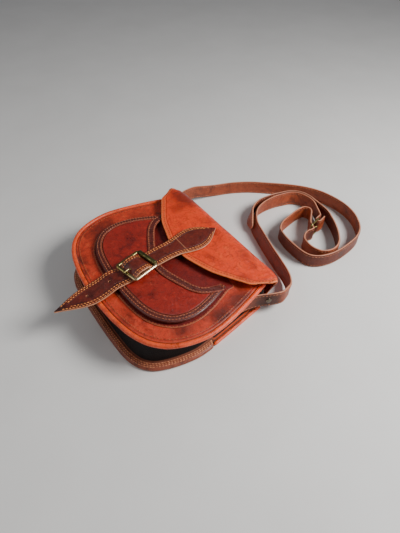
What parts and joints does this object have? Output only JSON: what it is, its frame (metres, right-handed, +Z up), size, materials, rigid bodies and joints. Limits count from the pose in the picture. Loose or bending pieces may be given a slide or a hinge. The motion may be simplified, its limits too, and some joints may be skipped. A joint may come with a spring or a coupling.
{
  "type": "leather saddle bag",
  "caption": "Half-round leather shoulder bag on its back, with a rolled flap, a closing strap in a roller buckle, a bordered front pocket and a long buckled strap.",
  "frame": {"origin": "middle of the flat underside of the back panel, on the surface that the bag lies on", "axes": "+Z up from the surface towards the front of the bag, +Y from the round bottom to the fold of the flap, +X to the right of somebody who looks at the front with the fold up"},
  "size_m": [0.2585, 0.459, 0.0707],
  "materials": {
    "tan_leather": "orange tan hide, burnished, with dark rubbed stains",
    "edge_leather": "light orange rolled piping, polished",
    "gusset_leather": "dark brown hide, matte",
    "pocket_leather": "oxblood hide with fine grain",
    "brown_leather": "chestnut hide with light stitching and raw edges",
    "strap_leather": "mid-brown strap leather, waxed, with pale cut edges",
    "aged_brass": "antique greenish brass",
    "rivet_steel": "dulled nickel dome"
  },
  "bodies": {
    "root": {"back_panel": "tan_leather", "gusset": "gusset_leather", "front_panel": "tan_leather", "front_edge_roll": "edge_leather", "back_edge_roll_left": "edge_leather", "back_edge_roll_right": "edge_leather", "bottom_binding": "brown_leather", "flap": "tan_leather", "pocket_back": "pocket_leather", "pocket_wall": "gusset_leather", "pocket_front": "pocket_leather", "pocket_border": "brown_leather", "pocket_mouth_trim": "brown_leather", "closing_strap": "brown_leather", "closing_buckle_frame": "aged_brass", "closing_buckle_roller": "aged_brass", "closing_buckle_prong": "aged_brass", "closing_buckle_chape": "brown_leather", "shoulder_strap_short": "strap_leather", "shoulder_strap_long": "strap_leather", "shoulder_strap_loop": "strap_leather", "shoulder_strap_tail": "strap_leather", "strap_buckle_frame": "aged_brass", "strap_buckle_prong": "aged_brass", "strap_rivet_right": "rivet_steel", "strap_rivet_left": "rivet_steel"}
  },
  "joints": []
}
